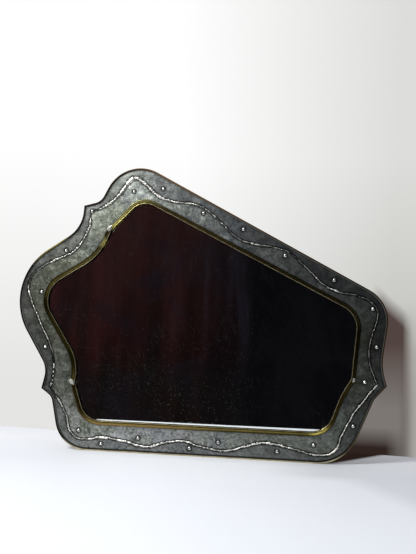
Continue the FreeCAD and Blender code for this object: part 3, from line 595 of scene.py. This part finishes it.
# How strong the bead is along each run, counter-clockwise: the share of the way along the run, and the
# strength there.
BEAD_STRENGTHS = {
    "upper": [
        (0, 0.38), (0.16, 0.32), (0.19, 0.27), (0.28, 0.32), (0.287, 0.58), (0.303, 0.62), (0.315, 0.36),
        (0.337, 0.38), (0.347, 0.54), (0.36, 0.36), (0.4, 0.36), (0.41, 0.2), (0.43, 0.18), (0.445, 0.34),
        (0.466, 0.36), (0.472, 0.58), (0.478, 0.36), (0.512, 0.36), (0.517, 0.58), (0.523, 0.36),
        (0.528, 0.52), (0.534, 0.34), (0.546, 0.42), (0.555, 0.27), (0.567, 0.3), (0.574, 0.42),
        (0.582, 0.28), (0.6, 0.25), (0.606, 0.44), (0.611, 0.26), (0.616, 0.3), (0.621, 0.68), (0.627, 0.27),
        (0.64, 0.25), (0.647, 0.66), (0.653, 0.27), (0.662, 0.3), (0.666, 0.52), (0.67, 0.28), (0.674, 0.54),
        (0.679, 0.25), (0.69, 0.32), (0.7, 0.44), (0.708, 0.56), (0.72, 0.56), (0.735, 0.42), (0.755, 0.56),
        (0.775, 0.52), (0.79, 0.8), (0.82, 1.1), (0.865, 1.3), (0.875, 1.55), (0.895, 1.6), (0.905, 1.35),
        (0.93, 1.5), (0.94, 0.8), (0.955, 0.75), (0.962, 1.2), (0.98, 1.2), (0.986, 0.5), (1, 0.4)],
    "lower": [
        (0, 0.5), (0.02, 0.54), (0.045, 0.46), (0.06, 0.52), (0.08, 0.55), (0.09, 0.7), (0.1, 0.58),
        (0.115, 0.46), (0.14, 0.46), (0.155, 0.42), (0.165, 0.56), (0.18, 0.6), (0.19, 0.8), (0.203, 0.9),
        (0.215, 0.72), (0.232, 0.62), (0.24, 0.72), (0.26, 0.68), (0.285, 0.7), (0.33, 0.72), (0.36, 0.55),
        (0.395, 0.68), (0.43, 0.68), (0.45, 0.5), (0.475, 0.5), (0.5, 0.52), (0.52, 0.46), (0.535, 0.42),
        (0.545, 0.7), (0.58, 0.85), (0.62, 0.88), (0.65, 0.72), (0.68, 0.62), (0.7, 0.46), (0.73, 0.46),
        (0.745, 0.55), (0.77, 0.46), (0.785, 0.64), (0.798, 0.72), (0.81, 0.54), (0.83, 0.5), (0.94, 0.54),
        (0.95, 0.64), (0.957, 0.42), (0.967, 0.56), (1, 0.52)],
    "left": [
        (0, 0.75), (0.03, 0.62), (0.06, 0.66), (0.11, 0.62), (0.16, 0.52), (0.24, 0.5), (0.28, 0.55),
        (0.35, 0.4), (0.38, 0.26), (0.43, 0.2), (0.47, 0.16), (0.485, 0.6), (0.5, 0.4), (0.515, 0.7),
        (0.53, 0.5), (0.78, 0.52), (0.8, 0.4), (0.83, 0.3), (0.845, 0.1), (0.885, 0.1), (0.893, 0.8),
        (0.904, 0.9), (0.912, 0.1), (0.92, 0.1), (0.927, 0.75), (0.934, 0.1), (0.941, 0.1), (0.947, 0.65),
        (0.953, 0.1), (0.962, 0.1), (0.968, 0.8), (0.974, 0.12), (0.98, 0.12), (0.986, 0.8), (0.992, 0.15),
        (1, 0.8)],
}


def run_of_seam(node):
    """Indices of the seam points that a CAD bead covers, in order."""
    mesh = nodes[node].data
    corners = [vertex.co for vertex in mesh.vertices]
    bead = BVHTree.FromPolygons(corners, [face.vertices for face in mesh.polygons])
    covered = np.array([bead.find_nearest((x, FACE, z))[3] for x, z in seam]) < BEAD_COVER
    start = next(index for index in range(len(seam)) if covered[index] and not covered[index - 1])
    order = np.roll(np.arange(len(seam)), -start)
    return order[:covered.sum()]


run_orders = {run: run_of_seam(f"seam_bead_{run}") for run in RUNS}
seam_strength = np.zeros(len(seam))
for run, order in run_orders.items():
    shares, strengths = zip(*BEAD_STRENGTHS[run])
    seam_strength[order] = np.interp(np.linspace(0, 1, len(order)), shares, strengths)


# Face plates: the flat solids again, as fine sheets with hand-beaten dents and soot along the solder

EDGE_STEP = 1.2 * MM
GRID_STEP = 2.6 * MM
GRID_JITTER = 0.2
LINE_STRIDE = 3
SEAM_LINES = [0.7 * MM, 1.5 * MM, 2.3 * MM, 3.1 * MM, 4.0 * MM, 5.0 * MM]
EDGE_LINES = [0.9 * MM, 1.8 * MM]
STUD_RINGS = [3.3 * MM, 4.0 * MM, 5.0 * MM]
RING_POINTS = 14
CLEAR_OF_EDGE = 0.5 * MM
SAME_POINT_MM = 1e-5
SHARP_ANGLE = 40

# Noise over the plates: how fine it is, and which slice of the noise it takes.
SWELL_NOISE = (24, 3.0)
DENT_NOISE = (85, 7.0)
RAGGED_NOISE = (260, 1.0)
SWELL_HEIGHT = 0.16 * MM
DENT_HEIGHT = 0.09 * MM

# Soot, and along the outer edge soot with painted shade: how far it reaches, how far that wavers, over what
# width it fades, and how dark it is.
SEAM_SOOT_REACH = 2.8 * MM
SEAM_SOOT_WAVER = 0.5
SEAM_SOOT_FADE = 1.0 * MM
SEAM_SOOT = 0.85
STUD_SOOT_REACH = 2.6
STUD_SOOT_FADE = 2.3 * MM
STUD_SOOT_WAVER = 0.3 * MM
STUD_SOOT = 0.95
RIM_SOOT_FADE = 2.2 * MM
RIM_SOOT_WAVER = 0.8 * MM
RIM_SOOT = 0.5
# Along the outer edge the plate is darkened by soot with painted shade.
EDGE_DARK_REACH = 1.8 * MM
EDGE_DARK_FADE = 0.9 * MM
EDGE_DARK_HEIGHTS = [0.1, 0.3]
EDGE_SOOT_AND_SHADE = [0.85, 0.5]


def points_beside(loop, offset):
    """Points beside a loop, on either side."""
    places = loop[::LINE_STRIDE]
    side = sides_of(loop)[::LINE_STRIDE]
    return np.vstack([places + side * offset, places - side * offset])


def stud_ring(radius):
    """Points round every nail."""
    angles = np.arange(RING_POINTS) * 2 * math.pi / RING_POINTS
    circle = np.column_stack([np.cos(angles), np.sin(angles)]) * radius
    return np.vstack([place + circle for place in stud_places])


def grid_points(low, high):
    """A field of points in a jittered triangular grid."""
    rows = np.arange(low[1], high[1], GRID_STEP * math.sqrt(0.75))
    columns = np.arange(low[0], high[0], GRID_STEP)
    across, up = np.meshgrid(columns, rows)
    across[1::2] += GRID_STEP / 2
    points = np.column_stack([across.ravel(), up.ravel()])
    return points + draw.uniform(-GRID_JITTER, GRID_JITTER, points.shape) * GRID_STEP


def triangles(points, loops):
    """Triangles over points whose first ones are the loops, as indices of those points."""
    edges = []
    first = 0
    for loop in loops:
        count = len(loop)
        edges += [(first + index, first + (index + 1) % count) for index in range(count)]
        first += count
    in_millimetres = [Vector(point) for point in points / MM]
    _, _, faces, origins, _, _ = delaunay_2d_cdt(in_millimetres, edges, [], 0, SAME_POINT_MM)
    source = [group[0] for group in origins]
    faces = np.array([[source[corner] for corner in face] for face in faces])
    middles = points[faces].mean(axis=1)
    return faces[inside(middles, loops)]


def sheet_faces(points, loops):
    """The front of a sheet over all its points, and its back and walls over the loops, which come first."""
    count = len(points)
    outline = np.vstack(loops)
    faces = triangles(points, loops).tolist()
    faces += [[count + corner for corner in face[::-1]] for face in triangles(outline, loops).tolist()]
    first = 0
    for loop in loops:
        for index in range(len(loop)):
            here = first + index
            beyond = first + (index + 1) % len(loop)
            faces.append([here, beyond, count + beyond, count + here])
        first += len(loop)
    return faces


def at_depth(points, depth):
    """Points (x, z) with a depth."""
    return np.column_stack([points[:, 0], np.broadcast_to(depth, len(points)), points[:, 1]])


def noise_over(points, rate, layer):
    """Smooth noise, -1 to 1, at (x, z) points."""
    return np.array([noise.noise(Vector((x * rate, layer, z * rate))) for x, z in points])


def beaten(points):
    """The heights of a hand-beaten sheet."""
    return SWELL_HEIGHT * noise_over(points, *SWELL_NOISE) + DENT_HEIGHT * noise_over(points, *DENT_NOISE)


def fading(points, tree, reach, fade):
    """A level for each point: 0 at the reach from a tree and beyond it, and 1 once a fade nearer."""
    return np.clip((reach - distances(points, tree)) / fade, 0, 1)


def soot_and_shade_levels(points):
    """How dark the plates are: soot along the solder, round the nails and by the rims, and soot with painted
    shade along the outer edge.
    """
    ragged = noise_over(points, *RAGGED_NOISE)
    strength = seam_strength[[seam_tree.find((x, 0, z))[1] for x, z in points]]
    seam_reach = BEAD_HALF_WIDTH * strength + SEAM_SOOT_REACH * (1 + SEAM_SOOT_WAVER * ragged)
    stud_fade = STUD_SOOT_FADE + STUD_SOOT_WAVER * ragged
    rim_fade = RIM_SOOT_FADE + RIM_SOOT_WAVER * ragged
    # Along the outer edge: soot with painted shade, stronger low down.
    edge_soot_and_shade = np.interp(points[:, 1], EDGE_DARK_HEIGHTS, EDGE_SOOT_AND_SHADE)
    return np.max([
        SEAM_SOOT * fading(points, seam_tree, seam_reach, SEAM_SOOT_FADE),
        STUD_SOOT * fading(points, stud_tree, STUD_SOOT_REACH * stud_fade, stud_fade),
        RIM_SOOT * fading(points, window_tree, rim_fade, rim_fade),
        edge_soot_and_shade * fading(points, outer_edge_tree, EDGE_DARK_REACH, EDGE_DARK_FADE)], axis=0)


def fine_plate(node, material):
    """A plate with a finely divided, beaten front, a flat back and walls round its outlines."""
    loops = [resampled(loop, EDGE_STEP) for loop in front_loops(node)]
    outline = np.vstack(loops)
    field = np.vstack([
        grid_points(outline.min(axis=0), outline.max(axis=0)),
        *[points_beside(seam, offset) for offset in SEAM_LINES],
        *[points_beside(outer_edge, offset) for offset in EDGE_LINES],
        *[stud_ring(radius) for radius in STUD_RINGS]])
    field = field[inside(field, loops)]
    field = field[distances(field, tree_of(outline)) > CLEAR_OF_EDGE]
    points = np.vstack([outline, field])
    vertices = np.vstack([at_depth(points, FACE - beaten(points)), at_depth(outline, PLATE_BACK)])
    piece = new_piece(f"{node}_sheet", vertices.tolist(), sheet_faces(points, loops), material, node)
    mark(piece, "soot_and_edge_shade", np.concatenate([soot_and_shade_levels(points), np.ones(len(outline))]))
    piece.data.shade_smooth()
    piece.data.set_sharp_from_angle(angle=math.radians(SHARP_ANGLE))


fine_plate("outer_face_plate", "outer")
fine_plate("inner_face_plate", "inner")


# Mirror glass: its clear front is not seen, so the piece is the silver, at the depth where the glass shows it

GLASS_INDEX = 1.52
SILVER_FRONT = GLASS_FRONT + (GLASS_BACK - GLASS_FRONT) / GLASS_INDEX


def silver_layer(node):
    """A flat sheet with the outline of the glass."""
    outline = resampled(front_loops(node)[0], EDGE_STEP)
    vertices = np.vstack([at_depth(outline, SILVER_FRONT), at_depth(outline, GLASS_BACK)])
    faces = sheet_faces(outline, [outline])
    new_piece(f"{node}_silvered", vertices.tolist(), faces, "glass", node)


silver_layer("mirror_glass")


# Solder beads: lumpy half-rounds

BEAD_SUNK = 0.35 * MM
BEAD_HEIGHT = 1.3 * MM
BEAD_TALLEST = 2.0 * MM
BEAD_SECTION = 9
BEAD_VANISHES = 0.14
LEAST_LUMP = 0.4
WIDEST_LUMP = 1.7
HIGHEST_LUMP = 1.6
TAPER_POINTS = 4
TAPER_START = 0.3
DULL_BELOW = 0.62
DULL_FADE = 0.35
DULLEST = 0.7
# Layers of randomness along a bead: the size, and over how many neighbours it is smoothed.
LUMPS = [(0.35, 2), (0.2, 9)]
WANDER = [(0.2 * MM, 8), (0.2 * MM, 3)]
PEAKS = [(0.15, 2)]


def smooth_random(count, reach):
    """Seeded random numbers about 0, smoothed over a number of neighbours."""
    kernel = np.hanning(2 * reach + 3)
    raw = draw.normal(size=count + len(kernel) - 1)
    return np.convolve(raw, kernel / np.sqrt((kernel ** 2).sum()), "valid")


def layered_random(count, layers):
    """Layers of smoothed random numbers, added up."""
    return sum(size * smooth_random(count, reach) for size, reach in layers)


def solder_bead(run):
    """A lumpy half-round bead along one run of the seam."""
    node = f"seam_bead_{run}"
    order = run_orders[run]
    count = len(order)
    strength = seam_strength[order]
    lumps = 1 + layered_random(count, LUMPS)
    wander = layered_random(count, WANDER)
    peaks = lumps + layered_random(count, PEAKS)
    from_end = np.minimum(np.arange(count), np.arange(count)[::-1])
    taper = np.minimum(1, from_end / TAPER_POINTS + TAPER_START)
    half_widths = BEAD_HALF_WIDTH * strength * np.clip(lumps, LEAST_LUMP, WIDEST_LUMP) * taper
    heights = BEAD_HEIGHT * (strength - BEAD_VANISHES) * np.clip(peaks, LEAST_LUMP, HIGHEST_LUMP) * taper
    heights = np.minimum(heights, BEAD_TALLEST)
    angles = np.linspace(0, math.pi, BEAD_SECTION)
    vertices = []
    for index, place in enumerate(order):
        for angle in angles:
            aside = wander[index] + half_widths[index] * math.cos(angle)
            x, z = seam[place] + seam_side[place] * aside
            vertices.append((x, FACE + BEAD_SUNK - (BEAD_SUNK + heights[index]) * math.sin(angle), z))
    faces = [list(range(BEAD_SECTION)), list(range(len(vertices) - BEAD_SECTION, len(vertices)))]
    for index in range(count - 1):
        here = index * BEAD_SECTION
        onward = here + BEAD_SECTION
        for corner in range(BEAD_SECTION):
            beside = (corner + 1) % BEAD_SECTION
            faces.append([here + corner, here + beside, onward + beside, onward + corner])
    piece = new_piece(f"{node}_drawn", vertices, faces, "bead", node)
    piece.data.shade_smooth()
    dull = np.clip((DULL_BELOW - strength) / DULL_FADE, 0, DULLEST)
    mark(piece, "dull", np.repeat(dull, BEAD_SECTION))


for run in RUNS:
    solder_bead(run)


# Solder drops where the sight rims meet: uneven smears

DROP_ALONG = 1.3
DROP_ACROSS = 0.8
DROP_DEPTH = 0.9
LEFT_DROP = 1.25
RIGHT_DROP = 0.7
DROP_DIVISIONS = 4
WINDOW_MIDDLE = 0.2
# Unevenness of a drop: how strong, how fine, and how far apart the noise of one place and the next.
DROP_SWELL = (0.7, 1.3, 90)
DROP_DENTS = (0.25, 4, 50)


def uneven(place, middle, strength, rate, shift):
    """A factor about 1 at a place on a drop, different for each drop's middle."""
    return 1 + strength * noise.noise(place * rate + middle * shift)


def unit_ball():
    """The places and the faces of a round ball."""
    ball = bmesh.new()
    bmesh.ops.create_icosphere(ball, subdivisions=DROP_DIVISIONS, radius=1.0)
    ball.verts.ensure_lookup_table()
    places = [vertex.co.copy() for vertex in ball.verts]
    faces = [[vertex.index for vertex in face.verts] for face in ball.faces]
    ball.free()
    return places, faces


def solder_drops(node):
    """The drops of a node, each swollen and dented by noise."""
    places, corners = unit_ball()
    low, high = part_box(node)
    depth_middle = (low.y + high.y) / 2
    half_depth = (high.y - low.y) / 2
    vertices = []
    faces = []
    for x, z in centres_of(node):
        slope = math.atan2(z - WINDOW_MIDDLE, x) + math.pi / 2
        size = half_depth * (LEFT_DROP if x < 0 else RIGHT_DROP)
        first = len(vertices)
        for place in places:
            dents = uneven(place, Vector((x, 0, z)), *DROP_DENTS)
            swell = uneven(place, Vector((x, 0, z)), *DROP_SWELL) * dents
            along = place.x * size * DROP_ALONG * swell
            aside = place.z * size * DROP_ACROSS * swell
            vertices.append((
                x + along * math.cos(slope) - aside * math.sin(slope),
                depth_middle + place.y * half_depth * DROP_DEPTH * dents,
                z + along * math.sin(slope) + aside * math.cos(slope)))
        faces += [[first + corner for corner in face] for face in corners]
    piece = new_piece(f"{node}_smeared", vertices, faces, "drops", node)
    piece.data.shade_smooth()


solder_drops("rim_solder_joints")


# Stage: a pale floor. The glass sees it only as far as its slanted front edge, and a dark room beyond

FLOOR_LEFT_FRONT = -0.36
FLOOR_RIGHT_FRONT = -0.675
FLOOR_LEFT_BACK = 0.706
FLOOR_RIGHT_BACK = -0.303
FLOOR_REACH = 3.0
# The dark shadow behind the mirror's right foot and the faint one beside it: their slants and edges.
SHADOW_SLANT = 1.6
SHADOW_EDGE = (-0.365, -0.341)
FAINT_SLANT = 2.5
FAINT_EDGE = (0.41, 0.54)
FAINT = 0.17


def floor_board(name):
    """Pale board, painted paler towards the back, with the mirror's two shadows painted at the right."""
    shader = new_shader(name)
    across = shader.axis(ACROSS)
    depth = shader.axis(DEPTH)
    beside = shader.spread(shader.sums("ADD", depth, shader.times(across, FAINT_SLANT)), *FAINT_EDGE)
    at_foot = shader.times(shader.spread(depth, -0.17, -0.12), shader.spread(across, 0.12, 0.2))
    faint = shader.times(shader.sums("MAXIMUM", beside, at_foot), FAINT)
    from_slant = shader.sums("SUBTRACT", depth, shader.times(across, SHADOW_SLANT))
    past_edge = shader.spread(from_slant, *SHADOW_EDGE)
    dark = shader.times(past_edge, shader.spread(depth, 0.0, 0.01), shader.spread(across, 0.14, 0.2))
    shade = shader.layers(
        colour(224, 227, 235),
        (shader.noise(3, 2), colour(229, 231, 238)),
        # Painted light: paler towards the back, which offsets the key light's shadow at the back right.
        (shader.spread(depth, -0.1, 0.12), colour(244, 246, 252)),
        (faint, colour(50, 50, 54)),
        (dark, colour(60, 46, 40)))
    gloss = shader.spread(dark, 0.0, 1.0, 0.5, 0.0)
    return shader.finish(Base_Color=shade, Roughness=0.6, Specular_IOR_Level=gloss)


def floor_sheet(name, corners):
    """A flat pale sheet on the floor."""
    mesh = bpy.data.meshes.new(name)
    mesh.from_pydata([(x, y, 0.0) for x, y in corners], [], [list(range(len(corners)))])
    mesh.materials.append(floor_board(name))
    sheet = bpy.data.objects.new(name, mesh)
    bpy.context.scene.collection.objects.link(sheet)
    return sheet


floor_sheet("floor", [
    (-FLOOR_REACH, FLOOR_LEFT_FRONT), (FLOOR_REACH, FLOOR_RIGHT_FRONT), (FLOOR_REACH, FLOOR_RIGHT_BACK),
    (-FLOOR_REACH, FLOOR_LEFT_BACK)])
apron = floor_sheet("floor_apron", [
    (-FLOOR_REACH, -FLOOR_REACH), (FLOOR_REACH, -FLOOR_REACH), (FLOOR_REACH, FLOOR_RIGHT_FRONT),
    (-FLOOR_REACH, FLOOR_LEFT_FRONT)])
apron.visible_glossy = False


# Light: a dark room in front, pale light from above and behind, and a soft key at the upper left

NEAREST_AHEAD = 0.05
FOLDS_ACROSS = 26.0
FOLDS_UP = 3.0
SKY_LEFT = (0.95, 0.96, 0.98, 1.0)
SKY_RIGHT = (0.3, 0.3, 0.32, 1.0)
# Soft shadows of the mirror on the wall behind, as directions: left edge, right edge and their softness,
# top edge, its softness and its slope, and colour.
WALL_SHADOWS = [
    (0.0, 0.117, 0.018, 0.03, 0.03, 0.0, colour(152, 148, 143)),
    (0.07, 0.107, 0.006, 0.132, 0.012, 0.9, colour(82, 68, 64)),
    (0.0, 0.109, 0.012, -0.03, 0.04, 0.0, colour(124, 119, 115)),
    (0.0, 0.096, 0.013, -0.1035, 0.012, 0.0, colour(48, 36, 32)),
]


def dark_room(shader, across, ahead, up):
    """What the glass reflects: a red curtain in folds at the left, a dim sheen at its edge, black beyond."""
    forward = shader.sums("MAXIMUM", shader.times(ahead, -1.0), NEAREST_AHEAD)
    aside = shader.sums("DIVIDE", across, forward)
    fold_place = shader.add("ShaderNodeCombineXYZ", {
        0: shader.times(aside, FOLDS_ACROSS), 2: shader.times(up, FOLDS_UP)}).outputs[0]
    folds = shader.noise(1.0, 3, 0.6, place=fold_place)
    blotches = shader.noise(16, 4, 0.6, 0.6)
    at_edge = shader.times(shader.spread(aside, -0.24, -0.14), shader.spread(aside, -0.02, -0.1))
    sheen = shader.times(at_edge, shader.spread(up, -0.05, 0.06), shader.spread(folds, 0.54, 0.66, 0.0, 0.4))
    return shader.layers(
        colour(16, 7, 7),
        (shader.spread(folds, 0.4, 0.62), colour(52, 21, 22)),
        (shader.spread(up, -0.02, 0.14, 0.0, 0.6), colour(62, 36, 36)),
        (shader.spread(aside, -0.5, -0.12, 0.0, 0.7), colour(12, 7, 7)),
        (shader.spread(up, -0.012, -0.045, 0.0, 0.75), colour(17, 14, 13)),
        (shader.spread(blotches, 0.5, 0.66, 0.0, 0.55), colour(20, 18, 25)),
        (shader.spread(aside, -0.16, -0.08), colour(9, 9, 12)),
        (sheen, colour(34, 34, 44)))


def pale_wall(shader, across, ahead, up):
    """What stands behind the mirror: white, greyer to the right and low down, with soft shadows."""
    to_right = shader.spread(across, -0.17, 0.09, 0.0, 0.56)
    low_down = shader.spread(up, 0.23, -0.05, 0.0, 0.44)
    wall = shader.mix(shader.sums("ADD", to_right, low_down), colour(255, 255, 255), colour(188, 188, 183))
    behind_mirror = shader.times(shader.spread(ahead, 0.6, 0.9), shader.spread(up, -0.3, -0.2))
    for left, right, side_soft, top, top_soft, slope, shade in WALL_SHADOWS:
        from_left = shader.spread(across, left - side_soft, left + side_soft)
        from_right = shader.spread(across, right + side_soft, right - side_soft)
        slanted = shader.sums("ADD", up, shader.times(across, slope))
        below = shader.spread(slanted, top + top_soft, top - top_soft)
        wall = shader.mix(shader.times(from_left, from_right, below, behind_mirror), wall, shade)
    return wall


def studio():
    """The surroundings: pale to the camera, a dark room to the glass."""
    world = bpy.data.worlds.new("studio")
    bpy.context.scene.world = world
    shader = Shader(world, "Background", "Generated")
    across, ahead, up = [shader.axis(number) for number in (ACROSS, DEPTH, UP)]
    bright = shader.sums("MAXIMUM", shader.spread(up, 0.55, 0.95), shader.spread(ahead, 0.12, 0.5))
    sky = shader.mix(shader.spread(across, -0.7, 0.7), SKY_LEFT, SKY_RIGHT)
    lit = shader.mix(bright, dark_room(shader, across, ahead, up), sky)
    seen = shader.add("ShaderNodeLightPath").outputs["Is Camera Ray"]
    shader.finish(Color=shader.mix(seen, lit, pale_wall(shader, across, ahead, up)), Strength=1.0)


def soft_light(name, place, target, size, power, tint):
    """An area lamp aimed at a point."""
    lamp = bpy.data.lights.new(name, "AREA")
    lamp.shape = "DISK"
    lamp.size = size
    lamp.energy = power
    lamp.color = tint
    holder = bpy.data.objects.new(name, lamp)
    bpy.context.scene.collection.objects.link(holder)
    holder.location = place
    holder.rotation_euler = (Vector(target) - Vector(place)).to_track_quat("-Z", "Y").to_euler()


studio()
soft_light(
    "key_light", place=(-0.66, -1.10, 1.12), target=(-0.14, 0.0, 0.4), size=0.4, power=23,
    tint=(0.985, 1.0, 0.97))
soft_light(
    "top_light", place=(0.0, -0.3, 2.2), target=(0.0, -0.1, 0.0), size=1.6, power=7,
    tint=(0.97, 0.98, 1.0))


# Camera at the photograph's place: turned and tipped a little, with the horizon rolled

CAMERA_PLACE = (0.1961, -1.3026, 0.1815)
CAMERA_YAW = 8.0
CAMERA_PITCH = 4.8
CAMERA_ROLL = 2.2
FOCAL_PIXELS = 800.0
FRAME_HEIGHT_PIXELS = 554
SENSOR = 36.0

camera_data = bpy.data.cameras.new("camera")
camera_data.sensor_width = SENSOR
camera_data.lens = FOCAL_PIXELS * SENSOR / FRAME_HEIGHT_PIXELS
camera = bpy.data.objects.new("camera", camera_data)
bpy.context.scene.collection.objects.link(camera)
turn = (Matrix.Rotation(math.radians(CAMERA_YAW), 4, "Z")
        @ Matrix.Rotation(math.radians(90 + CAMERA_PITCH), 4, "X")
        @ Matrix.Rotation(math.radians(CAMERA_ROLL), 4, "Z"))
camera.matrix_world = Matrix.Translation(CAMERA_PLACE) @ turn
bpy.context.scene.camera = camera
bpy.context.scene.view_settings.view_transform = "Standard"
